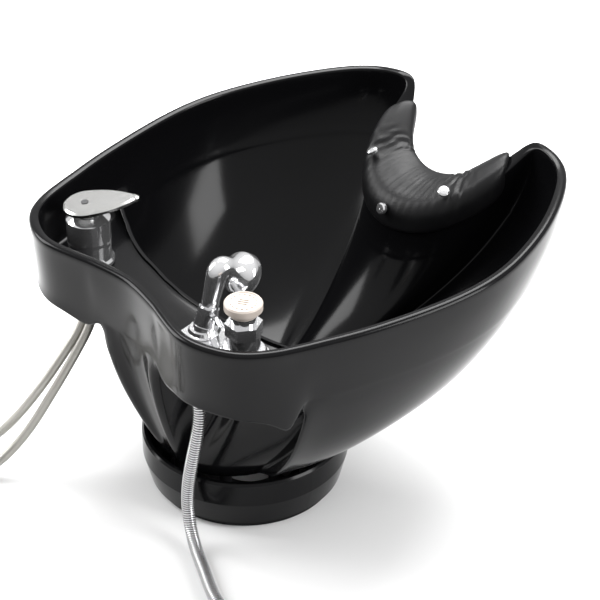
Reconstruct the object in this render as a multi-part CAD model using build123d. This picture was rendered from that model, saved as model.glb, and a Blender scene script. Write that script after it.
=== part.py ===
from build123d import *
import math
import os

# Tilting shampoo backwash bowl on a round collar, in millimetres.
# +Y points to the client's neck, -Y to the tap deck, +Z up.  The origin is the
# middle of the underside of the base plate.

os.makedirs("parts", exist_ok=True)

# ---- driving dimensions -------------------------------------------------
FOOT_TILT = 9.0        # the bowl's foot leans back by this much at rest, degrees
FOOT_HEIGHT = 80.0     # centre of the foot ring above the floor
FOOT_R = 99.0          # radius of the foot ring
FLOOR_THICK = 17.0     # foot underside to basin floor
RIM_WIDTH = 11.0       # width of the rolled rim
RIM_LEVEL = 314.0      # rim height at mid length
DECK_Z = 249.0         # top of the tap deck
COLLAR_R = 113.0       # base collar, outside
COLLAR_H = 66.0        # base collar, height
COLLAR_WALL = 7.0
PLATE_R = 92.0         # base plate
PLATE_T = 4.0
BOLT_PCD = 140.0       # floor or pedestal bolts
BOLT_HOLE_R = 4.5
PIVOT_Z = 44.0         # tilt axis above the floor
PIVOT_R = 5.0
WASTE_R = 16.0         # outlet tail radius
MIXER = (-136.0, -98.0)
HOLDER = (50.0, -90.0)
BREAKER = (123.0, -97.0)
HANDSET_LEAN = 17.0    # handset leans over the basin, degrees
SUPPLY_D = 10.0        # braided supply hoses
SPRAY_D = 14.0         # spiral spray hose


def save(shape, name):
    """Write one node's solids to its own STEP file."""
    shape.label = name
    export_step(shape, f"parts/{name}.step")


def group(solids):
    return Compound(children=list(solids))


def turned(profile, at=(0, 0, 0), lean=(0, 0, 0)):
    """Solid of revolution about Z from (radius, height) corners."""
    face = make_face(Polyline(*[(r, 0, z) for r, z in profile], close=True))
    return Pos(*at) * Rot(*lean) * revolve(face, Axis.Z)


def tube(outer, inner, low, high, at=(0, 0, 0), lean=(0, 0, 0)):
    return turned([(inner, low), (outer, low), (outer, high), (inner, high)], at, lean)


def rod(radius, low, high, at=(0, 0, 0), lean=(0, 0, 0)):
    return Pos(*at) * Rot(*lean) * Pos(0, 0, low) * Cylinder(
        radius, high - low, align=(Align.CENTER, Align.CENTER, Align.MIN))


def hexagon(across, low, high, at=(0, 0, 0), lean=(0, 0, 0)):
    """Hexagonal prism, measured across its flats."""
    block = extrude(RegularPolygon(across / 2, 6, major_radius=False), high - low)
    return Pos(*at) * Rot(*lean) * Pos(0, 0, low) * block


# ---- bowl ----------------------------------------------------------------
# The moulding is described by ribs, vertical sections from the foot up the
# outside, over the rim and down the inside.  Half of them are given, from the
# middle of the deck side round to the middle of the neck notch, and the other
# half mirrors them.  Each rib: rim x, rim y, angle of its foot, fullness of the
# belly, level of the hood's lower edge where the wall is scooped (0 = no scoop).
RIBS = [
    (0, -149, 0, 1.0, 0), (26, -151.5, 4, 1.0, 0), (50, -156, 8.5, 1.02, 0),
    (62, -159, 11, 1.03, 229), (90, -166.5, 19, 1.06, 234), (119, -170, 27, 1.1, 236),
    (150, -161, 36, 1.15, 236), (177, -143, 44, 1.2, 233), (194, -117, 51, 1.3, 226),
    (201, -100, 54.5, 1.35, 217), (206.5, -84, 59, 1.4, 0), (213, -63, 65, 1.45, 0),
    (224, -27, 76, 1.5, 0), (235, 22, 91, 1.58, 0), (243, 70, 106, 1.6, 0),
    (245.5, 115, 118, 1.6, 0), (240, 160, 129, 1.6, 0), (224, 210, 140, 1.55, 0),
    (202, 256, 150, 1.55, 0), (173, 299, 158, 1.5, 0), (143, 324, 163, 1.4, 0),
    (112, 332, 167, 1.4, 0), (92, 326, 170, 1.35, 0), (78, 310, 172, 1.3, 0),
    (62, 286, 174.5, 1.25, 0), (39, 266, 177, 1.2, 0), (0, 259, 180, 1.2, 0)]
# Neck notch: rim height, and inner edge of the broad lip that carries the pad.
NOTCH_TOP = {21: 340, 22: 337, 23: 320, 24: 304, 25: 284, 26: 276}
NECK_LIP = {22: (98, 317, 330), 23: (92, 290, 313), 24: (80, 254, 294),
            25: (50, 219, 271), 26: (0, 203, 264)}
# Crest of the ridge between the deck and the basin, one point per rib.
RIDGE = [(0, -65, 252), (24, -64.5, 252), (46, -62, 252), (57, -60.5, 252),
         (80, -56, 252.5), (104, -52, 253), (129, -45, 254), (148, -38, 256),
         (163, -31, 258), (171, -28, 259), (178, -25, 260.5), (188, -22, 263),
         (203, -20, 268)]
DECK_SINK = {9: 0.95, 10: 0.85, 11: 0.6, 12: 0.2}   # deck runs out into the side wall
WALL_LEVELS = (0.06, 0.15, 0.28, 0.43, 0.58, 0.675, 0.71, 0.75, 0.87, 0.965, 1.0)
BASIN_LEVELS = (0.93, 0.87, 0.81, 0.76, 0.73, 0.70, 0.66, 0.5, 0.33, 0.19, 0.08, 0.025)
DECK_LEVELS = (0.72, 0.46, 0.25, 0.1, 0.03)


def rim_height(number):
    along = RIBS[number][1] / 300
    return NOTCH_TOP.get(number, RIM_LEVEL + 9 * along + 12 * along ** 2)


def inward(number):
    """Unit normal of the rim's outline, pointing into the bowl."""
    last = len(RIBS) - 1
    if number in (0, last):
        return Vector(0, 1 if number == 0 else -1, 0)
    before, after = RIBS[number - 1], RIBS[number + 1]
    along = Vector(after[0] - before[0], after[1] - before[1], 0).normalized()
    return Vector(-along.Y, along.X, 0)


def on_foot(angle, radius, height):
    """Point on the leaning foot, from its own polar place and height."""
    a, lean = math.radians(angle), math.radians(FOOT_TILT)
    x, y = radius * math.sin(a), -radius * math.cos(a)
    return Vector(x, y * math.cos(lean) - height * math.sin(lean),
                  FOOT_HEIGHT + y * math.sin(lean) + height * math.cos(lean))


def swell(level, fullness):
    """How far out the belly has come at a fraction of its height."""
    return (1 - (1 - level) ** 1.9) ** (1 / fullness)


def between(a, b, out, up):
    """Point out along a to b in plan, and up between their heights."""
    flat = a + (b - a) * out
    return Vector(flat.X, flat.Y, a.Z + (b.Z - a.Z) * up)


def rib_points(number):
    x, y, angle, fullness, hood = RIBS[number]
    top, inn = rim_height(number), inward(number)
    foot = on_foot(angle, FOOT_R, 0)
    edge = Vector(x, y, top - 4)
    points = [on_foot(angle, 86, -6), on_foot(angle, 96, -4.5), foot]
    if number < len(RIDGE):
        crest = Vector(*RIDGE[number])
        corner = Vector(x, y, 0) + inn * (RIM_WIDTH + 1.5)
        run = (Vector(crest.X, crest.Y, 0) - corner)
        across = run.normalized()
    for count, level in enumerate(WALL_LEVELS):
        if not hood:
            points.append(between(foot, edge, swell(level, fullness), level))
            continue
        behind = crest - across * 11
        under = Vector(x, y, hood)
        if count < 5:
            part = (count + 1) / 5
            back = Vector(behind.X, behind.Y, hood - 8)
            points.append(between(foot, back, 1 - (1 - part) ** 1.8, part))
        elif count == 5:
            points.append(under * 0.65 + Vector(behind.X, behind.Y, hood) * 0.35
                          + inn * 6.5 - Vector(0, 0, 2))
        elif count == 6:
            points.append(under + inn * 7)
        elif count == 7:
            points.append(under + inn * 4.5 + Vector(0, 0, 5))
        else:
            points.append(Vector(x, y, foot.Z + (edge.Z - foot.Z) * level)
                          + inn * (4.5 * (1 - level) / 0.25))
    if number in NECK_LIP:
        lip = Vector(*NECK_LIP[number])
        outer = Vector(x, y, top)
        points += [between(outer, lip, 0.05, 0) - Vector(0, 0, 0.8), between(outer, lip, 0.5, 0.5),
                   between(outer, lip, 0.93, 1), lip - Vector(0, 0, 6)]
    else:
        outer = Vector(x, y, top)
        points += [outer + inn * 2.2 - Vector(0, 0, 0.8), outer + inn * RIM_WIDTH / 2,
                   outer + inn * (RIM_WIDTH - 2.2) - Vector(0, 0, 0.8),
                   outer + inn * RIM_WIDTH - Vector(0, 0, 4)]
    start = points[-1]
    floor = on_foot(angle, 55, FLOOR_THICK - 6)
    if number < len(RIDGE):
        sink = DECK_SINK.get(number, 1.0)
        deck = DECK_Z + (1 - sink) * (crest.Z - DECK_Z - 2)
        wide = run.length
        level = Vector(crest.X, crest.Y, 0)
        points += [corner + Vector(0, 0, start.Z - 18), corner + across * 1.5 + Vector(0, 0, deck + 8),
                   corner + across * min(8, wide * 0.3) + Vector(0, 0, deck),
                   level - across * min(7, wide * 0.25) + Vector(0, 0, deck + 0.5),
                   crest - across * min(2.5, wide * 0.1), crest + across * 1.5 - Vector(0, 0, 0.8)]
        brink = crest + across * 4.5 - Vector(0, 0, 9)
        points.append(brink)
        mix = max(0.0, (number - 8) / 4)
        for part in DECK_LEVELS:
            out = swell(part, fullness) * mix + (1 - (1 - part) ** 2) * (1 - mix)
            points.append(between(floor, brink, out, part))
    else:
        for part in BASIN_LEVELS:
            points.append(between(floor, start, swell(part, fullness), part))
    points.append(on_foot(angle, 48, FLOOR_THICK - 7))
    return points


def bowl_section(ring):
    """Closed outline through one station of every rib, both halves."""
    half = [rib[ring] for rib in HALF]
    other = [Vector(-p.X, p.Y, p.Z) for p in half[-2:0:-1]]
    return Wire.make_polygon(half + other, close=True)


HALF = [rib_points(number) for number in range(len(RIBS))]
SECTIONS = [bowl_section(ring) for ring in range(len(HALF[0]))]
FOOT = Pos(0, 0, FOOT_HEIGHT) * Rot(FOOT_TILT, 0, 0)      # frame of the leaning foot
UNDER = -6.0                                              # foot underside, in that frame
FLOOR = FLOOR_THICK - 7                                   # basin floor, in that frame
DOCK = Pos(*HOLDER, DECK_Z + 6) * Rot(-HANDSET_LEAN, 0, 0)  # frame of the docked handset
SHANK_R = 15.0
SHELF = 232.0                                             # flat under the deck at each hole
DRAIN_R = 22.0
DRAIN_FLANGE_R = 36.0
PIPE_R = 4.0                                              # transfer pipe under the deck
PIPE_Y = -80.0
PIPE_Z = 198.0


def deck_outline():
    """Plan of the chrome plate under the handset holder and the breaker."""
    bx, by = BREAKER
    return make_face(Wire([
        Line((30, -76), (40, -128)), ThreePointArc((40, -128), (82, -142), (bx + 6, by - 33)),
        ThreePointArc((bx + 6, by - 33), (bx + 33, by), (bx + 2, by + 33)),
        ThreePointArc((bx + 2, by + 33), (75, -72), (30, -76))]))


def foot_turned(profile):
    return FOOT * turned(profile)


def make_bowl():
    shell = Solid.make_loft(SECTIONS, ruled=True)
    for x, y in (MIXER, BREAKER):
        shell -= rod(SHANK_R + 0.5, 200, 300, (x, y, 0))
        shell -= rod(28, 190, SHELF, (x, y, 0))
    shell -= rod(26.5, DECK_Z, 270, (*MIXER, 0))
    shell -= Pos(0, 0, DECK_Z) * extrude(deck_outline(), 20)
    shell -= DOCK * rod(12.3, -60, 20)
    shell -= DOCK * rod(20, -56, -24)
    shell -= rod(20, 120, 205, (54, -106, 0))              # channel for the spray hose
    shell -= Pos(0, PIPE_Y, PIPE_Z) * Rot(0, 90, 0) * Cylinder(PIPE_R + 1.5, 170)
    shell -= FOOT * rod(DRAIN_R + 0.3, -20, 30)
    shell -= FOOT * rod(DRAIN_FLANGE_R + 0.3, FLOOR - 3, 40)
    return shell


def make_drain():
    """Chromed outlet: flange and stem, gasket, nut, tail and its slip nut."""
    flange = foot_turned([(19, -24), (DRAIN_R, -24), (DRAIN_R, FLOOR - 3), (DRAIN_FLANGE_R, FLOOR - 3),
                          (DRAIN_FLANGE_R, FLOOR - 0.5), (30, FLOOR - 0.2), (24, FLOOR - 1.5),
                          (19, FLOOR - 5)])
    save(flange, "drain_flange")
    save(FOOT * tube(34, DRAIN_R, UNDER - 2, UNDER), "drain_gasket")
    nut = FOOT * (hexagon(58, -16, UNDER - 2) - rod(DRAIN_R, -17, 0))
    save(nut, "drain_nut")
    tail = foot_turned([(14, -70), (WASTE_R, -70), (WASTE_R, -35), (WASTE_R - 0.4, -35), (WASTE_R - 0.4, -26),
                        (18.9, -26), (18.9, -20), (14, -20)])
    save(tail, "waste_tail")
    slip = FOOT * (hexagon(50, -34, -18) - rod(DRAIN_R, -26, -17) - rod(WASTE_R + 0.1, -35, -26))
    save(slip, "tail_nut")
    cup = [(0, 2.5), (15, 2.5), (17.5, 5), (18.5, 10.5), (21, 10.5), (21, 11.5), (17.8, 11.5), (16.8, 5.6),
           (14.6, 3.7), (0, 3.7)]
    strainer = turned(cup)
    for ring, count in ((6, 6), (11.5, 10)):
        for i in range(count):
            turn = 2 * math.pi * i / count
            strainer -= Pos(ring * math.cos(turn), ring * math.sin(turn), 0) * rod(1.6, 0, 6)
    strainer += rod(2, 3.7, 13) + Pos(0, 0, 13) * Sphere(3.4)
    save(FOOT * strainer, "strainer")


def make_base():
    """Collar, plate, tilt brackets, pivots and the rubber-capped rest posts."""
    collar = turned([(PLATE_R + 0.1, 0), (99, 0), (100, 1), (100, 6), (106, 9.5), (COLLAR_R, 38),
                     (COLLAR_R, COLLAR_H - 2.5), (COLLAR_R - 2, COLLAR_H), (COLLAR_R - 5.5, COLLAR_H),
                     (COLLAR_R - COLLAR_WALL, COLLAR_H - 1.5), (COLLAR_R - COLLAR_WALL, 38),
                     (99.5, 12), (95, PLATE_T + 4), (84, PLATE_T + 4), (84, PLATE_T), (PLATE_R + 0.1, PLATE_T)])
    plate = rod(PLATE_R, 0, PLATE_T)
    plate -= Pos(0, 6, 0) * rod(34, -1, PLATE_T + 1)
    holes = [(BOLT_PCD / 2 * math.cos(math.radians(a)), BOLT_PCD / 2 * math.sin(math.radians(a)))
             for a in (45, 135, 225, 315)]
    for x, y in holes:
        plate -= rod(BOLT_HOLE_R, -1, PLATE_T + 1, (x, y, 0))
    screws = []
    for a in (0, 90, 180, 270):
        spot = (88 * math.cos(math.radians(a)), 88 * math.sin(math.radians(a)), 0)
        collar -= rod(2.5, PLATE_T - 1, PLATE_T + 5, spot)
        plate -= rod(2.5, -1, PLATE_T + 1, spot)
        screws.append(rod(2.45, 0.5, PLATE_T + 4, spot) + rod(4, PLATE_T + 4, PLATE_T + 6.5, spot))
    save(collar, "base_collar")
    save(plate, "base_plate")
    save(group(screws), "collar_screws")

    low = PLATE_T
    bracket = Pos(0, 0, low + 2) * Box(136, 96, 4) - Pos(0, 6, 0) * rod(36, 0, 20)
    for x, y in holes:
        bracket -= rod(9, 0, 20, (x, y, 0))
    for side in (-1, 1):
        cheek = Pos(side * 66, 0, (low + PIVOT_Z) / 2) * Box(4, 40, PIVOT_Z - low)
        cheek += Pos(side * 66, 0, PIVOT_Z) * Rot(0, 90, 0) * Cylinder(12, 4)
        bracket += cheek
        bracket -= Pos(side * 66, 0, PIVOT_Z) * Rot(0, 90, 0) * Cylinder(PIVOT_R + 0.05, 12)
    save(bracket, "lower_bracket")

    hang = FOOT * (Pos(0, 0, UNDER - 2) * Box(128, 96, 4) - rod(38, -20, 0))
    for side in (-1, 1):
        cheek = FOOT * Pos(side * 60, -5, -21) * Box(4, 36, 26)
        cheek += Pos(side * 60, 0, PIVOT_Z) * Rot(0, 90, 0) * Cylinder(13, 4)
        hang += cheek
        hang -= Pos(side * 60, 0, PIVOT_Z) * Rot(0, 90, 0) * Cylinder(7, 12)
    fixing = []
    for x in (-45, 45):
        for y in (-38, 38):
            hang -= FOOT * rod(2.6, -12, 0, (x, y, 0))
            fixing.append(FOOT * (rod(2.5, UNDER - 4, UNDER, (x, y, 0)) + rod(4.5, UNDER - 7, UNDER - 4, (x, y, 0))))
    save(hang, "upper_bracket")
    save(group(fixing), "bracket_screws")

    bolts, nuts, bushes = [], [], []
    for side in (-1, 1):
        turn = Pos(0, 0, PIVOT_Z) * Rot(0, 90 * side, 0)
        bolts.append(turn * (rod(PIVOT_R, 50, 68) + rod(9, 68, 73)))
        nuts.append(turn * (hexagon(16, 49.5, 56.5) - rod(PIVOT_R, 48, 58)))
        bushes.append(turn * (tube(7, PIVOT_R + 0.03, 57, 62) + tube(11, PIVOT_R + 0.03, 62, 63.8)))
    save(group(bolts), "pivot_bolts")
    save(group(nuts), "pivot_nuts")
    save(group(bushes), "pivot_bushes")

    posts, bumpers = [], []
    for x in (-40, 40):
        for y, top in ((-60, 62.4), (60, 69.2)):
            posts.append(rod(7, low, top - 11, (x, y, 0)))
            bumpers.append(turned([(0, top - 11), (9, top - 11), (9, top - 2), (7, top), (0, top)], (x, y, 0)))
    save(group(posts), "rest_posts")
    save(group(bumpers), "rest_bumpers")


def pad_section(number, mirror):
    """Cross-section of the neck pad at one rib, wrapped over the lip."""
    x, y = RIBS[number][:2]
    top = rim_height(number)
    lip = Vector(*NECK_LIP[number])
    edge = Vector(x, y, 0)
    run = Vector(lip.X - x, lip.Y - y, 0)
    width, along = run.length, run.normalized()
    mid = (top + lip.Z) / 2
    corners = [(-1.0, top - 14), (-1.0, top + 0.4), (0.5 * width, mid + 1.4), (0.95 * width + 0.6, lip.Z + 0.9),
               (width + 1.4, lip.Z - 6), (width + 4.8, lip.Z - 26), (width + 11, lip.Z - 26),
               (width + 9, lip.Z - 4), (0.95 * width + 4, lip.Z + 9), (0.5 * width, mid + 11.5),
               (-4, top + 9), (-9, top + 1), (-8, top - 14)]
    points = [edge + along * s + Vector(0, 0, z) for s, z in corners]
    if mirror:
        points = [Vector(-p.X, p.Y, p.Z) for p in points]
    return Wire.make_polygon(points, close=True)


def make_pad():
    order = [(23, True), (24, True), (25, True), (26, False), (25, False), (24, False), (23, False)]
    pad = Solid.make_loft([pad_section(n, m) for n, m in order], ruled=True)
    snaps = []
    for spot, lean in (((0, 194.5, 262), 70), ((58, 232, 296), 25), ((-58, 232, 296), 25)):
        turn = 0 if spot[0] == 0 else math.copysign(50, spot[0])
        snaps.append(Pos(*spot) * Rot(0, 0, turn) * Rot(lean, 0, 0)
                     * turned([(0, -2), (6.5, -2), (6.5, 1), (5, 2.4), (0, 2.8)]))
        pad -= snaps[-1]
    save(pad, "neck_pad")
    save(group(snaps), "pad_snaps")


def make_mixer():
    """Single-lever mixer on the left of the deck."""
    x, y = MIXER
    z = DECK_Z
    spot = (x, y, 0)
    save(tube(24, SHANK_R + 0.2, z, z + 1.2, spot), "mixer_gasket")
    save(turned([(SHANK_R + 0.2, z + 1.2), (26, z + 1.2), (26, z + 5), (24, z + 8), (SHANK_R + 0.2, z + 8)], spot),
         "mixer_base_ring")
    save(turned([(10, 214), (SHANK_R, 214), (SHANK_R, z + 8), (10, z + 8)], spot), "mixer_shank")
    save(turned([(0, z + 8), (24, z + 8), (23, z + 12), (23, z + 26), (23.5, z + 30), (23.5, z + 50),
                 (17.1, z + 50), (17.1, z + 20), (0, z + 20)], spot), "mixer_body")
    save(turned([(0, z + 20), (17, z + 20), (17, z + 46), (7, z + 46), (7, z + 48), (0, z + 48)], spot),
         "mixer_cartridge")
    save(turned([(7, z + 50), (23.5, z + 50), (23.5, z + 53.5), (15, z + 59), (7, z + 60)], spot), "mixer_dome")
    stem = rod(3.5, z + 48.2, z + BALL_Z, spot) + Pos(x, y, z + BALL_Z) * Sphere(BALL_R)
    save(stem - lever_pin(x, y, z, PIN_R + 0.05, 12), "mixer_stem")
    save_lever(x, y, z)


LEVER_TURN = 55.0      # the lever points over the basin, degrees from +X
LEVER_REACH = 54.0
BALL_Z = 64.0          # ball on the stem that the lever lifts about, above the deck
BALL_R = 4.5


PIN_R = 1.3            # cross pin the lever lifts about, through the stem's ball


def lever_pin(x, y, z, radius, length):
    """Cross pin's cylinder, at right angles to the lever."""
    return Pos(x, y, z + BALL_Z) * Rot(0, 0, LEVER_TURN) * Rot(90, 0, 0) * Cylinder(radius, length)


def save_lever(x, y, z):
    turn = Pos(x, y, z) * Rot(0, 0, LEVER_TURN)
    leaf = make_face(Wire([
        ThreePointArc((-25, 0), (-17, -19), (3, -24.5)), Spline((3, -24.5), (30, -18.5), (50, -6.5)),
        ThreePointArc((50, -6.5), (LEVER_REACH + 1, -2), (50, 4.5)), Spline((50, 4.5), (30, 17.5), (3, 24.5)),
        ThreePointArc((3, 24.5), (-17, 19), (-25, 0))]))
    blade = Pos(0, 0, 68) * Rot(0, -6, 0) * (extrude(leaf, 3) + Pos(0, 0, 3) * extrude(leaf, 1.6, taper=55))
    lever = blade + turned([(0, 62.5), (9, 62.5), (15, 69.5), (0, 69.5)])
    lever -= Pos(0, 0, BALL_Z) * Sphere(BALL_R + 0.08)
    index = Pos(-2, 0, 68) * Rot(0, -6, 0) * rod(4, 3.4, 5)
    screw = Pos(7, 0, 66.5) * Rot(0, 90, 0) * rod(1.9, 0, 4)
    lever = lever - index - screw
    save(turn * lever + lever_pin(x, y, z, PIN_R, 12), "mixer_lever")
    save(turn * index, "lever_index")
    save(turn * screw, "lever_screw")


def make_deck_plate():
    """Chrome escutcheon that carries the handset holder and the breaker."""
    bx, by = BREAKER
    z = DECK_Z
    plate = Pos(0, 0, z) * extrude(deck_outline(), 5)
    plate -= rod(SHANK_R + 0.5, z - 1, z + 8, (bx, by, 0))
    plate -= DOCK * rod(12.3, -30, 20)
    save(plate, "deck_plate")
    holder = DOCK * turned([(7.6, -36), (12, -36), (12, 4), (12.6, 5), (10.6, 24), (9.3, 24), (9.3, 10), (7.6, 8)])
    foot = turned([(9, z + 5), (17, z + 5), (15, z + 8), (9, z + 8)], (HOLDER[0], HOLDER[1], 0))
    holder += foot - DOCK * rod(10, -20, 30)
    arm = Pos(82, -91, z + 26) * Rot(0, 0, -8) * Box(56, 5, 2)
    holder += arm - DOCK * rod(10, 0, 60) - rod(16.55, z, z + 40, (bx, by, 0))
    save(holder, "hose_holder")
    save(DOCK * tube(18, 12.1, -26, -24.2), "holder_washer")
    save(DOCK * (hexagon(30, -33, -26) - rod(12, -40, 0)), "holder_nut")


def make_breaker():
    """Vacuum breaker: stepped body, hexagon bonnet, seat, poppet and cap."""
    x, y = BREAKER
    z = DECK_Z + 5
    spot = (x, y, 0)
    save(turned([(9, 214), (SHANK_R, 214), (SHANK_R, z), (28, z), (28, z + 9), (26, z + 11), (23, z + 11),
                 (23, z + 16), (21, z + 18), (16.5, z + 18), (16.5, z + 36), (12, z + 36), (12, z + 10),
                 (9, z + 10)], spot), "breaker_body")
    bonnet = Pos(x, y, 0) * (hexagon(33, z + 36, z + 50) - rod(11, z + 30, z + 60))
    bonnet += tube(13, 11, z + 50, z + 59, spot)
    save(bonnet, "breaker_bonnet")
    save(tube(11.9, 7, z + 22, z + 25, spot), "breaker_seat")
    save(turned([(0, z + 25.5), (10, z + 25.5), (10, z + 28), (2.5, z + 30), (2.5, z + 48), (0, z + 48)], spot),
         "breaker_poppet")
    save(turned([(0, z + 59), (13.5, z + 59), (14, z + 63), (19.3, z + 65.5), (19.3, z + 72), (18, z + 73.8),
                 (16.6, z + 74), (15.8, z + 73), (0, z + 73)], spot), "breaker_cap")
    # Copper pipe under the deck, through the spine, from the mixer to the breaker.
    path = FilletPolyline((MIXER[0], -88, 213.8), (MIXER[0], -88, PIPE_Z), (MIXER[0] + 28, PIPE_Y, PIPE_Z),
                          (x - 24, PIPE_Y, PIPE_Z), (x, y + 9, PIPE_Z), (x, y + 9, 213.8), radius=7)
    pipe = sweep(Plane(origin=path @ 0, z_dir=path % 0) * Circle(PIPE_R), path)
    save(pipe, "transfer_pipe")


HEAD_FALL = 37.0       # spray face looks down by this much from level, degrees


def make_handset():
    """Hand spray, docked: handle, elbow and bell head, face and nozzles."""
    handle = turned([(4, 10.5), (9.1, 10.5), (9.1, 24.3), (9.5, 25), (9.3, 34), (10.4, 50), (11.2, 62), (11.3, 70),
                     (4, 70)])
    handle += Pos(0, 0, 70) * Sphere(11.3)
    crook = Pos(0, 0, 70) * Rot(-HEAD_FALL - 90 + HANDSET_LEAN, 0, 0)
    neck = turned([(0, 0), (11.3, 0), (11.6, 10), (14, 18), (0, 18)])
    save(DOCK * (handle + crook * neck), "handset_handle")
    bell = turned([(0, 18), (14, 18), (19, 25), (21.8, 33), (22.4, 41), (20.2, 41), (20, 36), (0, 31)])
    save(DOCK * crook * bell, "handset_head")
    face = turned([(0, 36.2), (19.8, 36.2), (19.8, 39), (0, 40)])
    jets = []
    for ring, count in ((6, 6), (11, 10), (15.5, 14)):
        for i in range(count):
            turn = 2 * math.pi * i / count
            jets.append(Pos(ring * math.cos(turn), ring * math.sin(turn), 0) * rod(0.9, 40.2, 41.8))
    save(DOCK * crook * face, "spray_face")
    save(DOCK * crook * group(jets), "spray_jets")
    tail = rod(7, -36, 8) + rod(6.6, 8, 10.3)
    save(DOCK * tail, "handset_tail")


# ---- hoses ---------------------------------------------------------------
# Each hose has an upper length on the bowl and a lower length on the floor.
SPRAY_UPPER = [(50, -100.53, 220.57), (50, -104, 209.2), (52.5, -105.5, 195), (56, -105.5, 179),
               (59, -106, 160), (60, -109.5, 140), (58.25, -113.25, 119)]
SPRAY_LOWER = [(58.25, -113.25, 119), (56.5, -117, 98), (54, -119.3, 77), (52.2, -120.2, 57), (53.5, -121.3, 39),
               (60, -124, 22.5), (73, -129.5, 11.2), (91, -137.5, 7), (112, -146.5, 7), (134, -157, 7),
               (157, -166.5, 7), (183, -171, 7), (212, -168, 7)]
SPRAY_COIL = (255, -245)
SPRAY_COIL_R = 78.0
COLD_UPPER = [(-141.5, -98, 213.8), (-141.5, -98, 200), (-140.5, -104.5, 184), (-139, -115.5, 168),
              (-139.5, -129, 152), (-143, -142.25, 134.5)]
COLD_LOWER = [(-143, -142.25, 134.5), (-146.5, -155.5, 117), (-154, -169, 96), (-163.5, -181, 75), (-176, -191.5, 54),
              (-191.5, -200, 34), (-211, -206.5, 17), (-234, -209.5, 7), (-258, -208.5, 5)]
HOT_UPPER = [(-130.5, -98, 213.8), (-130.5, -98, 200), (-128.5, -104, 186), (-126.5, -113.5, 171),
             (-127.5, -124.5, 155), (-130, -136.5, 137)]
HOT_LOWER = [(-130, -136.5, 137), (-132.5, -148.5, 119), (-138, -162.5, 96), (-143.5, -175, 74),
             (-151, -189, 51), (-160, -204.5, 30), (-169, -221.5, 14), (-178, -241, 6.5), (-186, -261, 5),
             (-192.5, -280, 5), (-195.5, -297, 5)]
COLD_COIL = (-262, -263)
HOT_COIL = (-142, -308)
SUPPLY_COIL_R = 55.0


def hose(points, diameter, name):
    """Round hose along straight runs and the largest tangent arcs that fit."""
    path_points = [Vector(*p) for p in points]
    radii = []
    for a, b, c in zip(path_points, path_points[1:], path_points[2:]):
        turn = math.radians((b - a).get_angle(c - b))
        radii.append(0.45 * min((b - a).length, (c - b).length) / math.tan(turn / 2))
    path = FilletPolyline(*path_points, radius=radii)
    solid = sweep(Plane(origin=path @ 0, z_dir=path % 0) * Circle(diameter / 2), path)
    area = math.pi * diameter ** 2 / 4
    print(name, "radii", [round(r) for r in radii], "length", round(path.length),
          "volume ratio", round(solid.volume / (area * path.length), 3))
    save(solid, name)


def coil(centre, mid_radius, width, height, name):
    """Outer shape of a coil lying flat on the floor."""
    section = Pos(mid_radius, 0, height / 2) * Rot(90, 0, 0) * RectangleRounded(width, height, min(width, height) * 0.45)
    save(Pos(*centre, 0) * revolve(section, Axis.Z), name)


NUT_LIFT = 25.0        # each put-away end nut points up and out over its coil, degrees


def at_turn(centre, radius, angle, height, dip):
    """Frame on a coil's turn, its Z along the turn and dipped by some degrees."""
    return Pos(*centre, height) * Rot(0, 0, angle) * Pos(radius, 0, 0) * Rot(90 + dip, 0, 0)


def make_shank_fasteners():
    """Washer and locknut under the deck on the mixer's and the breaker's shank."""
    washers, nuts = [], []
    for spot in ((*MIXER, 0), (*BREAKER, 0)):
        washers.append(tube(27, SHANK_R + 0.2, SHELF - 2.5, SHELF, spot))
        nuts.append(Pos(*spot) * (hexagon(44, SHELF - 11, SHELF - 2.5) - rod(SHANK_R, 200, 240)))
    save(group(washers), "shank_washers")
    save(group(nuts), "shank_nuts")


def make_hoses():
    hose(SPRAY_UPPER, SPRAY_D, "spray_hose")
    hose(SPRAY_LOWER, SPRAY_D, "spray_hose_floor")
    coil(SPRAY_COIL, SPRAY_COIL_R, 2 * SPRAY_D, SPRAY_D, "spray_coil")
    nut = at_turn(SPRAY_COIL, SPRAY_COIL_R - 26, 20, 14, -NUT_LIFT)
    save(nut * (tube(10, 7.6, 2, 14) + tube(10, 4, -6, 2) + tube(8, 4, -14, -6)), "spray_end_nut")
    hose(COLD_UPPER, SUPPLY_D, "cold_hose")
    hose(COLD_LOWER, SUPPLY_D, "cold_hose_floor")
    hose(HOT_UPPER, SUPPLY_D, "hot_hose")
    hose(HOT_LOWER, SUPPLY_D, "hot_hose_floor")
    coil(COLD_COIL, SUPPLY_COIL_R, SUPPLY_D, SUPPLY_D, "cold_coil")
    coil(HOT_COIL, SUPPLY_COIL_R, SUPPLY_D, SUPPLY_D, "hot_coil")
    for name, centre, angle in (("cold_end_nut", COLD_COIL, 120), ("hot_end_nut", HOT_COIL, 200)):
        nut = at_turn(centre, SUPPLY_COIL_R - 18, angle, 12, NUT_LIFT)
        save(nut * (hexagon(18, -10, 4) + rod(6, 4, 14) - rod(3, -2, 15) - rod(7.2, -11, -1)), name)


save(make_bowl(), "bowl_shell")
make_base()
make_drain()
make_pad()
make_mixer()
make_deck_plate()
make_breaker()
make_shank_fasteners()
make_handset()
make_hoses()
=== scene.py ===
import math

import bmesh
import bpy
import numpy as np
from mathutils import Matrix, Vector


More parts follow.
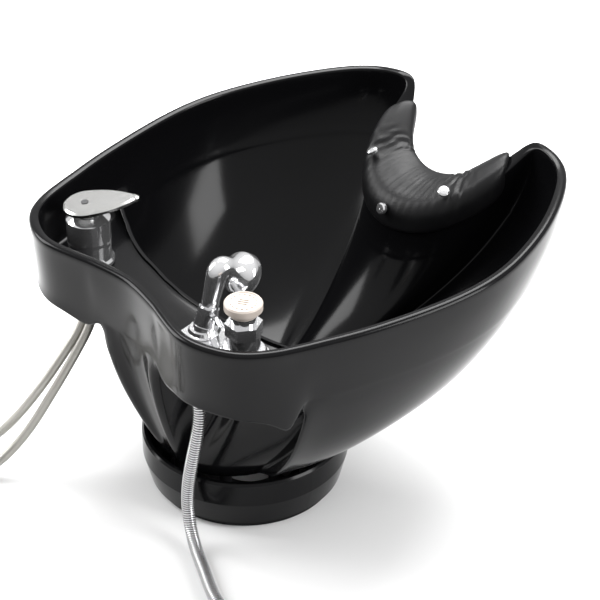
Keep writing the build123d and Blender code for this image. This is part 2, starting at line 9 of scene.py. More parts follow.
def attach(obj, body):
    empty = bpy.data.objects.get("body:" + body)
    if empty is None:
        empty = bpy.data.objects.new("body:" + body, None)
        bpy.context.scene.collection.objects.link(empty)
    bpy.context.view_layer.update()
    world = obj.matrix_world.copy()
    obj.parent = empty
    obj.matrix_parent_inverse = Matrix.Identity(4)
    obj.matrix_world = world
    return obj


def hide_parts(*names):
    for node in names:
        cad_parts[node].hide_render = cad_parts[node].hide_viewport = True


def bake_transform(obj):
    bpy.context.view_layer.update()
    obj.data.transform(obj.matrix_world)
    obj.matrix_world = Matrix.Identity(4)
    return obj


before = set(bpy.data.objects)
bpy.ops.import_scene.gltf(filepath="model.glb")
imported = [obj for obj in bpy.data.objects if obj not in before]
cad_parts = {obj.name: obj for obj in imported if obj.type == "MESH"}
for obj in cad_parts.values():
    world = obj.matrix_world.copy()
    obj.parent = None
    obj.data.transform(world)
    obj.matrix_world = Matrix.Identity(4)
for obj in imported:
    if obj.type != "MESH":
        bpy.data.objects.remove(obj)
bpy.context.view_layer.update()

MM = 0.001

# ---- studio --------------------------------------------------------------
# A wide pale table, a white room, and three soft lamps: a long one overhead
# behind the unit for the rim's edge, a broad one from the left, a low fill.
CAMERA_TURN, CAMERA_PITCH = math.radians(49.9), math.radians(33.61)
camera_data = bpy.data.cameras.new("camera")
camera_data.lens = 132
camera = bpy.data.objects.new("camera", camera_data)
camera.location = (1.5164, -1.1985, 1.5094)
camera.rotation_euler = (math.pi / 2 - CAMERA_PITCH, 0, CAMERA_TURN)
bpy.context.scene.collection.objects.link(camera)
bpy.context.scene.camera = camera
bpy.context.scene.view_settings.view_transform = "Standard"


def finish_of(name, base, rough, metallic=0.0):
    """Material with its shader's plain values set; returns it with its node tree and shader."""
    material = bpy.data.materials.new(name)
    material.use_nodes = True
    tree = material.node_tree
    shader = tree.nodes["Principled BSDF"]
    shader.inputs["Base Color"].default_value = (*base, 1)
    shader.inputs["Roughness"].default_value = rough
    shader.inputs["Metallic"].default_value = metallic
    return material, tree, shader


def noise(tree, scale, detail=2.0):
    """Noise over the piece, in its own space; returns the value socket."""
    where = tree.nodes.new("ShaderNodeTexCoord")
    texture = tree.nodes.new("ShaderNodeTexNoise")
    texture.inputs["Scale"].default_value = scale
    texture.inputs["Detail"].default_value = detail
    tree.links.new(where.outputs["Object"], texture.inputs["Vector"])
    return texture.outputs["Fac"]


def vary(tree, value, low, high, target):
    """Drives a shader socket between two values with a texture value."""
    spread = tree.nodes.new("ShaderNodeMapRange")
    spread.inputs["From Min"].default_value = 0.3
    spread.inputs["From Max"].default_value = 0.7
    spread.inputs["To Min"].default_value = low
    spread.inputs["To Max"].default_value = high
    tree.links.new(value, spread.inputs["Value"])
    tree.links.new(spread.outputs["Result"], target)


def tint(tree, value, dark, light, target):
    """Colours a socket between two tones with a texture value."""
    ramp = tree.nodes.new("ShaderNodeValToRGB")
    ramp.color_ramp.elements[0].position = 0.3
    ramp.color_ramp.elements[1].position = 0.7
    ramp.color_ramp.elements[0].color = (*dark, 1)
    ramp.color_ramp.elements[1].color = (*light, 1)
    tree.links.new(value, ramp.inputs["Fac"])
    tree.links.new(ramp.outputs["Color"], target)


def relief(tree, shader, value, strength, distance):
    """Bump from a texture value."""
    bump = tree.nodes.new("ShaderNodeBump")
    bump.inputs["Strength"].default_value = strength
    bump.inputs["Distance"].default_value = distance
    tree.links.new(value, bump.inputs["Height"])
    tree.links.new(bump.outputs["Normal"], shader.inputs["Normal"])


table_white, tree, shader = finish_of("table_white", (0.86, 0.86, 0.86), 0.6)
vary(tree, noise(tree, 3.0), 0.58, 0.66, shader.inputs["Roughness"])
table_mesh = bpy.data.meshes.new("table")
table_mesh.from_pydata([(-9, -9, 0), (9, -9, 0), (9, 9, 0), (-9, 9, 0)], [], [(0, 1, 2, 3)])
table = bpy.data.objects.new("table", table_mesh)
table_mesh.materials.append(table_white)
bpy.context.scene.collection.objects.link(table)

room = bpy.data.worlds.new("room")
room.use_nodes = True
bpy.context.scene.world = room
tree = room.node_tree
seen = tree.nodes.new("ShaderNodeLightPath")
white = tree.nodes.new("ShaderNodeBackground")
white.inputs["Strength"].default_value = 1.05
where = tree.nodes.new("ShaderNodeTexCoord")
split = tree.nodes.new("ShaderNodeSeparateXYZ")
walls = tree.nodes.new("ShaderNodeValToRGB")
walls.color_ramp.elements[0].position = 0.46
walls.color_ramp.elements[0].color = (0.3, 0.3, 0.3, 1)
walls.color_ramp.elements[1].position = 0.9
walls.color_ramp.elements[1].color = (1, 1, 1, 1)
bench = walls.color_ramp.elements.new(0.62)
bench.color = (0.7, 0.7, 0.7, 1)
height = tree.nodes.new("ShaderNodeMapRange")
height.inputs["From Min"].default_value = -1
tree.links.new(where.outputs["Generated"], split.inputs["Vector"])
tree.links.new(split.outputs["Z"], height.inputs["Value"])
tree.links.new(height.outputs["Result"], walls.inputs["Fac"])
soft = tree.nodes["Background"]
soft.inputs["Strength"].default_value = 1.0
tree.links.new(walls.outputs["Color"], soft.inputs["Color"])
both = tree.nodes.new("ShaderNodeMixShader")
tree.links.new(seen.outputs["Is Camera Ray"], both.inputs["Fac"])
tree.links.new(soft.outputs["Background"], both.inputs[1])
tree.links.new(white.outputs["Background"], both.inputs[2])
tree.links.new(both.outputs["Shader"], tree.nodes["World Output"].inputs["Surface"])


def lamp(name, spot, aim, size, power):
    data = bpy.data.lights.new(name, "AREA")
    data.shape = "RECTANGLE"
    data.size, data.size_y = size
    data.energy = power
    piece = bpy.data.objects.new(name, data)
    piece.location = spot
    piece.rotation_euler = (Vector(aim) - Vector(spot)).to_track_quat("-Z", "Y").to_euler()
    bpy.context.scene.collection.objects.link(piece)


lamp("overhead", (-0.7, 1.1, 2.4), (0, 0, 0.2), (2.2, 1.4), 120)
lamp("left", (-2.0, -1.2, 1.5), (0, 0, 0.2), (1.2, 1.8), 60)
lamp("fill", (2.2, 1.0, 1.3), (0, 0, 0.2), (1.0, 1.6), 50)

# ---- base ----------------------------------------------------------------
# Moulded collar over a steel floor plate with the tilt bracket and its
# rubber-capped rest posts; the same black moulding as the bowl.
black_gloss, tree, shader = finish_of("black_gloss", (0.003, 0.003, 0.0034), 0.14)
shader.inputs["Specular IOR Level"].default_value = 0.15
vary(tree, noise(tree, 9.0), 0.12, 0.17, shader.inputs["Roughness"])
relief(tree, shader, noise(tree, 260.0, 1.0), 0.03, 0.0004)

black_steel, tree, shader = finish_of("black_steel", (0.02, 0.02, 0.022), 0.45)
vary(tree, noise(tree, 40.0), 0.38, 0.55, shader.inputs["Roughness"])
relief(tree, shader, noise(tree, 900.0), 0.15, 0.0003)

zinc, tree, shader = finish_of("zinc", (0.55, 0.55, 0.56), 0.3, metallic=1.0)
tint(tree, noise(tree, 180.0, 4.0), (0.42, 0.42, 0.43), (0.62, 0.62, 0.63), shader.inputs["Base Color"])

black_rubber, tree, shader = finish_of("black_rubber", (0.02, 0.02, 0.02), 0.7)
vary(tree, noise(tree, 300.0), 0.6, 0.8, shader.inputs["Roughness"])


def finish(material, *names):
    """Gives carried-over pieces their finish."""
    for name in names:
        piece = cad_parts[name]
        if not piece.material_slots:
            piece.data.materials.append(material)
        for place in piece.material_slots:
            place.material = material


finish(black_gloss, "base_collar")
finish(black_steel, "base_plate", "lower_bracket", "upper_bracket", "rest_posts")
finish(zinc, "collar_screws", "pivot_bolts", "pivot_nuts", "bracket_screws", "lever_screw")
finish(black_rubber, "rest_bumpers", "drain_gasket", "mixer_gasket", "breaker_seat")

# ---- bowl ----------------------------------------------------------------
# One black glossy moulding: two lobes, a band round the deck, a recessed
# deck, a ridge, the basin and the neck notch.  Ribs run from the foot up the
# outside, over the rim and down the inside, and the skin passes over them.
FOOT_TILT = 9.0
FOOT_HEIGHT = 80.0
RIM_LEVEL = 314.0
RIM_WIDTH = 11.0
DECK_Z = 249.0
FLOOR = 10.0
DRAIN_SEAT = (37.0, 23.0)
RIBS = [
    (0, -149, 0, 1.0, 0), (26, -151.5, 4, 1.0, 0), (50, -156, 8.5, 1.02, 0),
    (62, -159, 11, 1.03, 229), (90, -166.5, 19, 1.06, 234), (119, -170, 27, 1.1, 236),
    (150, -161, 36, 1.15, 236), (177, -143, 44, 1.2, 233), (194, -117, 51, 1.3, 226),
    (201, -100, 54.5, 1.35, 217), (206.5, -84, 59, 1.4, 0), (213, -63, 65, 1.45, 0),
    (224, -27, 76, 1.5, 0), (235, 22, 91, 1.58, 0), (243, 70, 106, 1.6, 0),
    (245.5, 115, 118, 1.6, 0), (240, 160, 129, 1.6, 0), (224, 210, 140, 1.55, 0),
    (202, 256, 150, 1.55, 0), (173, 299, 158, 1.5, 0), (143, 324, 163, 1.4, 0),
    (112, 332, 167, 1.4, 0), (92, 326, 170, 1.35, 0), (78, 310, 172, 1.3, 0),
    (62, 286, 174.5, 1.25, 0), (39, 266, 177, 1.2, 0), (0, 259, 180, 1.2, 0)]
NOTCH_TOP = {21: 340, 22: 337, 23: 320, 24: 304, 25: 284, 26: 276}
NECK_LIP = {22: (98, 317, 330), 23: (92, 290, 313), 24: (80, 254, 294),
            25: (50, 219, 271), 26: (0, 203, 264)}
RIDGE = [(0, -65, 252), (24, -64.5, 252), (46, -62, 252), (57, -60.5, 252),
         (80, -56, 252.5), (104, -52, 253), (129, -45, 254), (148, -38, 256),
         (163, -31, 258), (171, -28, 259), (178, -25, 260.5), (188, -22, 263),
         (203, -20, 268)]
DECK_SINK = {9: 0.95, 10: 0.85, 11: 0.6, 12: 0.2}
WALL_LEVELS = (0.06, 0.15, 0.28, 0.43, 0.58, 0.675, 0.71, 0.75, 0.87, 0.965, 1.0)
BASIN_LEVELS = (0.93, 0.87, 0.81, 0.76, 0.73, 0.70, 0.66, 0.5, 0.33, 0.19, 0.08, 0.025)
DECK_LEVELS = (0.72, 0.46, 0.25, 0.1, 0.03)


def inward(number):
    if number in (0, len(RIBS) - 1):
        return Vector((0, 1 if number == 0 else -1, 0))
    before, after = RIBS[number - 1], RIBS[number + 1]
    along = Vector((after[0] - before[0], after[1] - before[1], 0)).normalized()
    return Vector((-along.y, along.x, 0))


def on_foot(angle, radius, height):
    a, lean = math.radians(angle), math.radians(FOOT_TILT)
    x, y = radius * math.sin(a), -radius * math.cos(a)
    return Vector((x, y * math.cos(lean) - height * math.sin(lean),
                   FOOT_HEIGHT + y * math.sin(lean) + height * math.cos(lean)))


def swell(level, fullness):
    return (1 - (1 - level) ** 1.9) ** (1 / fullness)


def between(a, b, out, up):
    flat = a + (b - a) * out
    return Vector((flat.x, flat.y, a.z + (b.z - a.z) * up))


def rib_points(number):
    x, y, angle, fullness, hood = RIBS[number]
    rise = Vector((0, 0, 1))
    top = NOTCH_TOP.get(number, RIM_LEVEL + 9 * y / 300 + 12 * (y / 300) ** 2)
    inn = inward(number)
    foot = on_foot(angle, 99, 0)
    edge = Vector((x, y, top - 4))
    outer = Vector((x, y, top))
    points = [on_foot(angle, DRAIN_SEAT[1], -5), on_foot(angle, 55, -6), on_foot(angle, 86, -6),
              on_foot(angle, 96, -4.5), foot]
    if number < len(RIDGE):
        crest = Vector(RIDGE[number])
        corner = Vector((x, y, 0)) + inn * (RIM_WIDTH + 1.5)
        run = Vector((crest.x, crest.y, 0)) - corner
        across = run.normalized()
    for count, level in enumerate(WALL_LEVELS):
        under = Vector((x, y, hood))
        if not hood:
            points.append(between(foot, edge, swell(level, fullness), level))
        elif count < 5:
            part = (count + 1) / 5
            back = Vector(((crest - across * 11).x, (crest - across * 11).y, hood - 8))
            points.append(between(foot, back, 1 - (1 - part) ** 1.8, part))
        elif count == 5:
            back = crest - across * 11
            points.append(under * 0.65 + Vector((back.x, back.y, hood)) * 0.35 + inn * 6.5 - rise * 2)
        elif count == 6:
            points.append(under + inn * 7)
        elif count == 7:
            points.append(under + inn * 4.5 + rise * 5)
        else:
            points.append(Vector((x, y, foot.z + (edge.z - foot.z) * level)) + inn * (18 * (1 - level)))
    if number in NECK_LIP:
        lip = Vector(NECK_LIP[number])
        points += [between(outer, lip, 0.05, 0) - rise * 0.8, between(outer, lip, 0.5, 0.5),
                   between(outer, lip, 0.93, 1), lip - rise * 6]
    else:
        points += [outer + inn * 2.2 - rise * 0.8, outer + inn * RIM_WIDTH / 2,
                   outer + inn * (RIM_WIDTH - 2.2) - rise * 0.8, outer + inn * RIM_WIDTH - rise * 4]
    start = points[-1]
    floor = on_foot(angle, 55, FLOOR + 1)
    if number < len(RIDGE):
        deck = DECK_Z + (1 - DECK_SINK.get(number, 1.0)) * (crest.z - DECK_Z - 2)
        flat = Vector((crest.x, crest.y, 0))
        wide = run.length
        points += [corner + rise * (start.z - 18), corner + across * 1.5 + rise * (deck + 8),
                   corner + across * min(8, wide * 0.3) + rise * deck,
                   flat - across * min(7, wide * 0.25) + rise * (deck + 0.5),
                   crest - across * min(2.5, wide * 0.1), crest + across * 1.5 - rise * 0.8]
        brink = crest + across * 4.5 - rise * 9
        points.append(brink)
        mix = max(0.0, (number - 8) / 4)
        for part in DECK_LEVELS:
            out = swell(part, fullness) * mix + (1 - (1 - part) ** 2) * (1 - mix)
            points.append(between(floor, brink, out, part))
    else:
        for part in BASIN_LEVELS:
            points.append(between(floor, start, swell(part, fullness), part))
    points += [on_foot(angle, 48, FLOOR), on_foot(angle, 41, FLOOR),
               on_foot(angle, DRAIN_SEAT[0], FLOOR - 2), on_foot(angle, DRAIN_SEAT[1], FLOOR - 3)]
    return points


def through(targets, rounds=4):
    """Cage whose subdivided skin passes through a grid of points closed both ways."""
    cage = targets.copy()
    for _ in range(rounds):
        near = sum(np.roll(cage, s, a) for s in (1, -1) for a in (0, 1))
        far = sum(np.roll(np.roll(cage, s, 0), t, 1) for s in (1, -1) for t in (1, -1))
        cage += 0.8 * (targets - (16 * cage + 4 * near + far) / 36)
    return cage


def grid_piece(name, cage, levels, body, material):
    """Subdivided skin over a grid of points that closes on itself both ways."""
    rows, columns = cage.shape[:2]
    mesh = bpy.data.meshes.new(name)
    faces = [(i * columns + j, ((i + 1) % rows) * columns + j,
              ((i + 1) % rows) * columns + (j + 1) % columns, i * columns + (j + 1) % columns)
             for i in range(rows) for j in range(columns)]
    mesh.from_pydata((cage.reshape(-1, 3) * MM).tolist(), [], faces)
    mesh.materials.append(material)
    piece = bpy.data.objects.new(name, mesh)
    bpy.context.scene.collection.objects.link(piece)
    skin = piece.modifiers.new("skin", "SUBSURF")
    skin.levels = skin.render_levels = levels
    set_smooth(piece)
    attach(piece, body)
    return piece


def set_smooth(piece):
    piece.data.polygons.foreach_set("use_smooth", [True] * len(piece.data.polygons))


half = [rib_points(number) for number in range(len(RIBS))]
ribs = np.array(half + [[(-p.x, p.y, p.z) for p in rib] for rib in half[-2:0:-1]], dtype=float)
bowl = grid_piece("bowl_skin", through(ribs), 2, "bowl", black_gloss)
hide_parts("bowl_shell")

# ---- neck pad ------------------------------------------------------------
# Foam collar in black leather, wrapped over the notch's broad lip and held
# by chrome snaps.  The hide is gathered at the corners of the notch.
pad_hide, tree, shader = finish_of("pad_hide", (0.005, 0.005, 0.0055), 0.42)
shader.inputs["Specular IOR Level"].default_value = 0.22
vary(tree, noise(tree, 60.0), 0.36, 0.48, shader.inputs["Roughness"])
grain = tree.nodes.new("ShaderNodeTexVoronoi")
grain.inputs["Scale"].default_value = 900.0
where = tree.nodes.new("ShaderNodeTexCoord")
tree.links.new(where.outputs["Object"], grain.inputs["Vector"])
relief(tree, shader, grain.outputs["Distance"], 0.25, 0.0004)


def pad_section(number):
    """Section of the collar at one rib: round its outer roll, over the lip and down inside."""
    x, y = RIBS[number][:2]
    top = NOTCH_TOP[number]
    lip = Vector(NECK_LIP[number])
    edge = Vector((x, y, 0))
    run = Vector((lip.x - x, lip.y - y, 0))
    width, along = run.length, run.normalized()
    mid = (top + lip.z) / 2
    corners = [(-1.0, top - 14), (-0.6, top + 0.4), (0.25 * width, (top + mid) / 2 + 1.4),
               (0.5 * width, mid + 1.4), (0.95 * width + 0.6, lip.z + 0.9), (width + 1.4, lip.z - 6),
               (width + 4.8, lip.z - 26), (width + 8, lip.z - 29), (width + 11, lip.z - 26),
               (width + 10.4, lip.z - 12), (width + 9, lip.z - 4), (0.95 * width + 4, lip.z + 9),
               (0.72 * width, (mid + lip.z) / 2 + 10.5), (0.5 * width, mid + 11.5),
               (0.25 * width, (top + mid) / 2 + 11.5), (-4, top + 9), (-8, top + 5), (-9, top - 2),
               (-8, top - 14), (-4, top - 17)]
    return [edge + along * s + Vector((0, 0, z)) for s, z in corners]


pad_half = [pad_section(number) for number in (23, 24, 25, 26)]
pad_ribs = [[(-p.x, p.y, p.z) for p in rib] for rib in pad_half[:3]] + [list(rib) for rib in pad_half[::-1]]
pad_rows = np.array([[tuple(p) for p in rib] for rib in pad_ribs], dtype=float)
centres = pad_rows.mean(axis=1, keepdims=True)
ends = [pad_rows[:1] * 0.35 + centres[:1] * 0.65, pad_rows[-1:] * 0.35 + centres[-1:] * 0.65]
pad_rows = np.concatenate([ends[0], pad_rows, ends[1]])


def tube_mesh(name, rows):
    """Mesh from closed rings of points, with flat caps."""
    count, around = rows.shape[:2]
    faces = [(i * around + j, (i + 1) * around + j,
              (i + 1) * around + (j + 1) % around, i * around + (j + 1) % around)
             for i in range(count - 1) for j in range(around)]
    faces.append(tuple(range(around)))
    faces.append(tuple(range(count * around - 1, (count - 1) * around - 1, -1)))
    mesh = bpy.data.meshes.new(name)
    mesh.from_pydata((rows.reshape(-1, 3) * MM).tolist(), [], faces)
    return mesh


pad_mesh = tube_mesh("neck_pad_hide", pad_rows)
pad_mesh.materials.append(pad_hide)
pad = bpy.data.objects.new("neck_pad_hide", pad_mesh)
bpy.context.scene.collection.objects.link(pad)
set_smooth(pad)
skin = pad.modifiers.new("skin", "SUBSURF")
skin.levels = skin.render_levels = 4
dense = bpy.data.meshes.new_from_object(pad.evaluated_get(bpy.context.evaluated_depsgraph_get()))
pad.modifiers.clear()
pad.data = dense

# Gathers: creases run across the roll on its upper side, deepest at the
# notch's corners and shallower at its middle.
NOTCH_CENTRE_Y = 318
CORNER_CREASE = 1.9
CORNER_FINE = 1.2
MIDDLE_FINE = 0.9
spots = np.array([vertex.co[:] for vertex in dense.vertices]) / MM
out = np.array([vertex.normal[:] for vertex in dense.vertices])
turn = np.arctan2(np.abs(spots[:, 0]), NOTCH_CENTRE_Y - spots[:, 1])
reach = np.hypot(spots[:, 0], NOTCH_CENTRE_Y - spots[:, 1])
corner = np.exp(-((np.degrees(turn) - 42) / 9) ** 2)
middle = np.exp(-((np.degrees(turn) - 10) / 16) ** 2)
above = np.clip((out[:, 2] + 0.15) / 0.9, 0, 1)
crease = np.sin(turn * 24 + reach * 0.09 + np.sin(reach * 0.16) * 0.7) ** 4
fine = np.sin(turn * 37 + reach * 0.05 + 0.8) ** 4
depth = CORNER_CREASE * corner * crease + (CORNER_FINE * corner + MIDDLE_FINE * middle) * fine
spots -= out * (depth * above)[:, None]
dense.vertices.foreach_set("co", (spots * MM).ravel())
dense.update()
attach(pad, "bowl")
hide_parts("neck_pad")

# ---- chrome fittings -----------------------------------------------------
# Plated brass: mixer, deck plate, holder, hand spray and breaker, with small
# differences in polish from hand buffing.
chrome, tree, shader = finish_of("chrome", (0.76, 0.76, 0.77), 0.1, metallic=0.92)
vary(tree, noise(tree, 50.0, 3.0), 0.08, 0.14, shader.inputs["Roughness"])
finish(chrome, "pad_snaps", "drain_flange", "strainer", "mixer_base_ring", "mixer_body", "mixer_dome",
       "deck_plate", "hose_holder", "breaker_body", "breaker_bonnet", "handset_tail", "spray_end_nut",
       "cold_end_nut", "hot_end_nut")

# The hand spray's shell is one smooth casting, as rings along its middle
# line: (distance, radius) up the handle, round the elbow, out along the bell.
HOLDER_LEAN = math.radians(17.0)
HEAD_FALL = math.radians(37.0)
ELBOW_HEIGHT = 70.0
DOCK = Matrix.Translation(Vector((50, -90, DECK_Z + 6)) * MM) @ Matrix.Rotation(-HOLDER_LEAN, 4, "X")
HANDLE = [(10.5, 9.1), (20, 9.1), (24, 9.1), (24.6, 8.6), (25.4, 9.5), (34, 9.3), (44, 9.9), (54, 10.7)]
BELL = [(12, 11.9), (16, 12.9), (20, 14.6), (24, 17.2), (28, 20.2), (30, 21.6), (32, 22.2), (40.2, 22.4),
        (41, 22), (41, 20.2), (39, 20.0), (36, 20.0)]
bend = HEAD_FALL + math.pi / 2 - HOLDER_LEAN
head_way = Vector((0, math.sin(bend), math.cos(bend)))
top = Vector((0, 0, ELBOW_HEIGHT))
stations = [(Vector((0, 0, height)), radius) for height, radius in HANDLE]
low, mid, high = top - Vector((0, 0, 12)), top + Vector((0, 0, 1)), top + head_way * 12
for k in range(1, 8):
    part = k / 8
    centre = low * (1 - part) ** 2 + mid * 2 * part * (1 - part) + high * part ** 2
    stations.append((centre, 11.2 + 0.5 * part))
stations += [(top + head_way * along, radius) for along, radius in BELL]
rings = []
sideways = Vector((1, 0, 0))
for k, (centre, radius) in enumerate(stations):
    if k < len(stations) - len(BELL):
        heading = (stations[k + 1][0] - stations[max(0, k - 1)][0]).normalized()
    else:
        heading = head_way
    up = sideways.cross(heading)
    rings.append([tuple(centre + radius * (math.cos(a) * sideways + math.sin(a) * up))
                  for a in np.arange(48) * 2 * math.pi / 48])
shell_mesh = tube_mesh("spray_shell", np.array(rings))
shell_mesh.transform(DOCK)
shell_mesh.materials.append(chrome)
spray_shell = bpy.data.objects.new("spray_shell", shell_mesh)
bpy.context.scene.collection.objects.link(spray_shell)
set_smooth(spray_shell)
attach(spray_shell, "handset")
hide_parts("handset_handle", "handset_head")

satin, tree, shader = finish_of("satin", (0.5, 0.5, 0.49), 0.22, metallic=1.0)
vary(tree, noise(tree, 300.0, 4.0), 0.19, 0.25, shader.inputs["Roughness"])
finish(satin, "mixer_lever")

ivory, tree, shader = finish_of("ivory", (0.56, 0.49, 0.44), 0.4)
tint(tree, noise(tree, 70.0, 3.0), (0.50, 0.44, 0.39), (0.60, 0.53, 0.48), shader.inputs["Base Color"])
relief(tree, shader, noise(tree, 1200.0), 0.08, 0.0002)
finish(ivory, "breaker_cap")

# Plain raised marks moulded into the cap's top: a ring of ticks round three
# slanting bars.
CAP_TOP = Vector((123, -97, DECK_Z + 78.25))
TICKS = 16
TICK_RING = 13
SLANT = math.radians(35)
marks = bmesh.new()


def mark(x, y, turn, length, width):
    """One raised bar of the cap's marks."""
    bar = bmesh.ops.create_cube(marks, size=MM)["verts"]
    place = Matrix.Translation((CAP_TOP + Vector((x, y, 0))) * MM) @ Matrix.Rotation(turn, 4, "Z")
    bmesh.ops.transform(marks, matrix=place @ Matrix.Diagonal((length, width, 0.6, 1)), verts=bar)


for k in range(TICKS):
    a = 2 * math.pi * k / TICKS
    mark(TICK_RING * math.cos(a), TICK_RING * math.sin(a), a + math.pi / 2, 2.6, 0.8)
for aside, length in ((3.5, 9), (0, 11), (-3.5, 9)):
    mark(-aside * math.sin(SLANT), aside * math.cos(SLANT), SLANT, length, 1.0)
marks_mesh = bpy.data.meshes.new("cap_marks")
marks.to_mesh(marks_mesh)
marks.free()
mark_brown, tree, shader = finish_of("mark_brown", (0.33, 0.27, 0.22), 0.5)
tint(tree, noise(tree, 90.0, 3.0), (0.27, 0.22, 0.18), (0.38, 0.32, 0.27), shader.inputs["Base Color"])
marks_mesh.materials.append(mark_brown)
cap_marks = bpy.data.objects.new("cap_marks", marks_mesh)
bpy.context.scene.collection.objects.link(cap_marks)
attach(cap_marks, "bowl")

nylon, tree, shader = finish_of("nylon", (0.03, 0.03, 0.032), 0.5)
vary(tree, noise(tree, 200.0), 0.42, 0.6, shader.inputs["Roughness"])
finish(nylon, "pivot_bushes", "drain_nut", "tail_nut", "waste_tail", "shank_nuts", "holder_nut",
       "spray_face", "lever_index")

grey_plastic, tree, shader = finish_of("grey_plastic", (0.5, 0.51, 0.53), 0.45)
tint(tree, noise(tree, 120.0), (0.46, 0.47, 0.49), (0.55, 0.56, 0.58), shader.inputs["Base Color"])
finish(grey_plastic, "mixer_cartridge", "breaker_poppet")

brass, tree, shader = finish_of("brass", (0.7, 0.52, 0.25), 0.3, metallic=1.0)
tint(tree, noise(tree, 150.0, 4.0), (0.6, 0.43, 0.19), (0.76, 0.58, 0.3), shader.inputs["Base Color"])
finish(brass, "mixer_shank", "mixer_stem", "shank_washers", "holder_washer", "transfer_pipe")

jet_rubber, tree, shader = finish_of("jet_rubber", (0.2, 0.21, 0.23), 0.6)
vary(tree, noise(tree, 400.0), 0.5, 0.7, shader.inputs["Roughness"])
finish(jet_rubber, "spray_jets")

# ---- hoses ---------------------------------------------------------------
# Two rubber supply hoses in stainless braid and a spiral-chromed spray hose.
# Each leaves under the deck, falls to the floor and ends in a put-away coil.
SUPPLY_R = 5 * MM
SPRAY_R = 7 * MM
SPRAY_ROUTE = [(50, -100.53, 220.57), (50, -104, 209.2), (52.5, -105.5, 195), (56, -105.5, 179),
               (59, -106, 160), (60, -109.5, 140), (56.5, -117, 98), (54, -119.3, 77), (52.2, -120.2, 57),
               (53.5, -121.3, 39), (60, -124, 22.5), (73, -129.5, 11.2), (91, -137.5, 7), (112, -146.5, 7),
               (134, -157, 7), (157, -166.5, 7), (183, -171, 7), (212, -168, 7)]
COLD_ROUTE = [(-141.5, -98, 213.8), (-141.5, -98, 200), (-140.5, -104.5, 184), (-139, -115.5, 168),
              (-139.5, -129, 152), (-146.5, -155.5, 117), (-154, -169, 96), (-163.5, -181, 75),
              (-176, -191.5, 54), (-191.5, -200, 34), (-211, -206.5, 17), (-234, -209.5, 7),
              (-258, -208.5, 5)]
HOT_ROUTE = [(-130.5, -98, 213.8), (-130.5, -98, 200), (-128.5, -104, 186), (-126.5, -113.5, 171),
             (-127.5, -124.5, 155), (-132.5, -148.5, 119), (-138, -162.5, 96), (-143.5, -175, 74),
             (-151, -189, 51), (-160, -204.5, 30), (-169, -221.5, 14), (-178, -241, 6.5), (-186, -261, 5),
             (-192.5, -280, 5), (-195.5, -297, 5)]


def turns(centre, start, sweep, first, last, low, high):
    """Points of a flat spiral from one radius to another, rising a little into its end nut."""
    count = int(abs(sweep) / 22.5)
    points = []
    for i in range(1, count + 1):
        part = i / count
        a = math.radians(start + sweep * part)
        r = first + (last - first) * part
        lift = max(0.0, part * count - count + 3) / 3
        points.append((centre[0] + r * math.cos(a), centre[1] + r * math.sin(a), low + (high - low) * lift))
    return points


def smooth_line(route):
    """The route's own smooth line, as points in metres."""
    curve = bpy.data.curves.new("route", "CURVE")
    curve.dimensions = "3D"
    curve.resolution_u = 16
    spline = curve.splines.new("NURBS")
    spline.points.add(len(route) - 1)
    for point, place in zip(spline.points, route):
        point.co = (place[0] * MM, place[1] * MM, place[2] * MM, 1)
    spline.order_u = 3
    spline.use_endpoint_u = True
    holder = bpy.data.objects.new("route", curve)
    mesh = bpy.data.meshes.new_from_object(holder)
    line = np.array([vertex.co[:] for vertex in mesh.vertices])
    bpy.data.objects.remove(holder)
    bpy.data.meshes.remove(mesh)
    return line


def hose(name, line, radius, step, sides, profile=None):
    """Round hose along a line, with lengthwise and round-about texture places."""
    gaps = np.linalg.norm(np.diff(line, axis=0), axis=1)
    along = np.concatenate([[0], np.cumsum(gaps)])
    stations = np.linspace(0, along[-1], int(along[-1] / step) + 1)
    spine = np.stack([np.interp(stations, along, line[:, k]) for k in range(3)], axis=1)
    heading = np.gradient(spine, axis=0)
    heading /= np.linalg.norm(heading, axis=1)[:, None]
    side = np.cross(heading[0], (0.3, 0.2, 0.93))
    rings = []
    angles = np.arange(sides) * 2 * math.pi / sides
    for i, centre in enumerate(spine):
        side = side - heading[i] * side.dot(heading[i])
        side /= np.linalg.norm(side)
        other = np.cross(heading[i], side)
        r = np.full(sides, radius) if profile is None else profile(stations[i], angles)
        rings.append(centre + (np.cos(angles) * r)[:, None] * side + (np.sin(angles) * r)[:, None] * other)
    rows = np.array(rings) / MM
    mesh = tube_mesh(name, rows)
    uv = mesh.uv_layers.new(name="along")
    for polygon in mesh.polygons:
        low = min(mesh.loops[k].vertex_index % sides for k in polygon.loop_indices)
        for k in polygon.loop_indices:
            vertex = mesh.loops[k].vertex_index
            turn = vertex % sides
            if low == 0 and turn == sides - 1 and len(polygon.loop_indices) == 4:
                turn = -1
            uv.data[k].uv = (stations[vertex // sides], turn / sides)
    piece = bpy.data.objects.new(name, mesh)
    bpy.context.scene.collection.objects.link(piece)
    set_smooth(piece)
    return piece, along[-1]


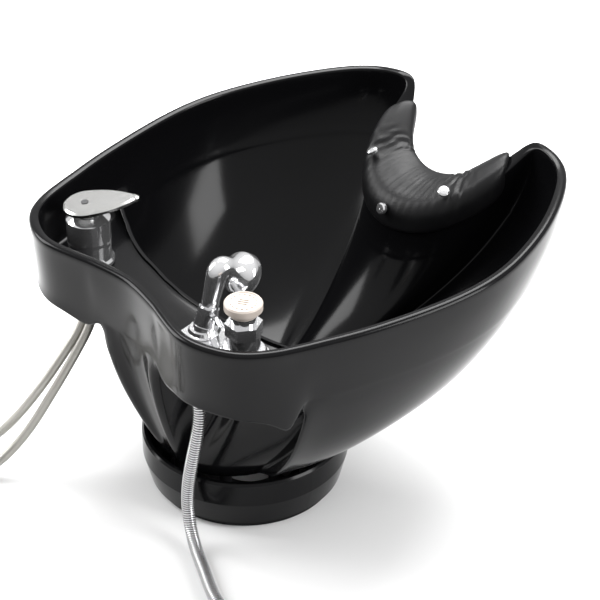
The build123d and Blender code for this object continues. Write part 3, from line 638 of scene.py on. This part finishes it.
# The supply hose's braid: flat bundles of stainless wire crossing at an angle.
braid, tree, shader = finish_of("braid", (0.50, 0.48, 0.45), 0.35, metallic=0.75)
where = tree.nodes.new("ShaderNodeUVMap")
heights = []
for lean in (-1, 1):
    mapping = tree.nodes.new("ShaderNodeMapping")
    mapping.inputs["Scale"].default_value = (1900.0, lean * 16.0, 1)
    wave = tree.nodes.new("ShaderNodeTexWave")
    wave.bands_direction = "DIAGONAL"
    wave.inputs["Scale"].default_value = 0.25
    tree.links.new(where.outputs["UV"], mapping.inputs["Vector"])
    tree.links.new(mapping.outputs["Vector"], wave.inputs["Vector"])
    heights.append(wave.outputs["Fac"])
weave = tree.nodes.new("ShaderNodeMath")
weave.operation = "MAXIMUM"
tree.links.new(heights[0], weave.inputs[0])
tree.links.new(heights[1], weave.inputs[1])
tint(tree, weave.outputs["Value"], (0.17, 0.165, 0.15), (0.42, 0.41, 0.38), shader.inputs["Base Color"])
relief(tree, shader, weave.outputs["Value"], 0.2, 0.0003)

# The spray hose's outside: a chromed steel strip wound in a close spiral,
# chrome-coloured on its crowns, with painted shade darkening the groove between two turns.
spiral, tree, shader = finish_of("spiral", (0.8, 0.8, 0.81), 0.12, metallic=0.8)
PITCH = 2.9 * MM
GROOVE = 1.1 * MM
vary(tree, noise(tree, 400.0), 0.08, 0.2, shader.inputs["Roughness"])
where = tree.nodes.new("ShaderNodeUVMap")
split = tree.nodes.new("ShaderNodeSeparateXYZ")
wound = tree.nodes.new("ShaderNodeMath")
wound.operation = "MULTIPLY_ADD"
wound.inputs[1].default_value = 1 / PITCH
swing = tree.nodes.new("ShaderNodeMath")
swing.operation = "PINGPONG"
swing.inputs[1].default_value = 0.5
# Base colour ramp: painted shade, near black, in the groove between turns; plain chrome colour on the
# crowns.
groove_shade_ramp = tree.nodes.new("ShaderNodeValToRGB")
groove_shade_ramp.color_ramp.elements[0].position = 0.1
groove_shade_ramp.color_ramp.elements[0].color = (0.03, 0.03, 0.03, 1)
groove_shade_ramp.color_ramp.elements[1].position = 0.26
groove_shade_ramp.color_ramp.elements[1].color = (0.62, 0.62, 0.63, 1)
tree.links.new(where.outputs["UV"], split.inputs["Vector"])
tree.links.new(split.outputs["X"], wound.inputs[0])
tree.links.new(split.outputs["Y"], wound.inputs[2])
tree.links.new(wound.outputs["Value"], swing.inputs[0])
tree.links.new(swing.outputs["Value"], groove_shade_ramp.inputs["Fac"])
tree.links.new(groove_shade_ramp.outputs["Color"], shader.inputs["Base Color"])


def strip(station, angles):
    """Radius of the wound strip: rounded crowns with a narrow groove between them."""
    phase = (station / PITCH + angles / (2 * math.pi)) % 1
    return SPRAY_R - GROOVE * np.abs(2 * phase - 1) ** 3


for stem, route, centre, start, sweep in (("cold", COLD_ROUTE, (-262, -263), 90, 368),
                                          ("hot", HOT_ROUTE, (-142, -308), 168, 370)):
    line = smooth_line(route + turns(centre, start, sweep, 55, 38, 5, 6.6))
    piece, length = hose(stem + "_supply_hose", line, SUPPLY_R, 3 * MM, 20)
    piece.data.materials.append(braid)
    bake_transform(piece)
    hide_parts(stem + "_hose", stem + "_hose_floor", stem + "_coil")

line = smooth_line(SPRAY_ROUTE + turns((255, -245), 103, -790, 86, 53, 7, 8.6))
piece, length = hose("chrome_spray_hose", line, SPRAY_R, PITCH / 5, 20, strip)
piece.data.materials.append(spiral)
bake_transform(piece)
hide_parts("spray_hose", "spray_hose_floor", "spray_coil")
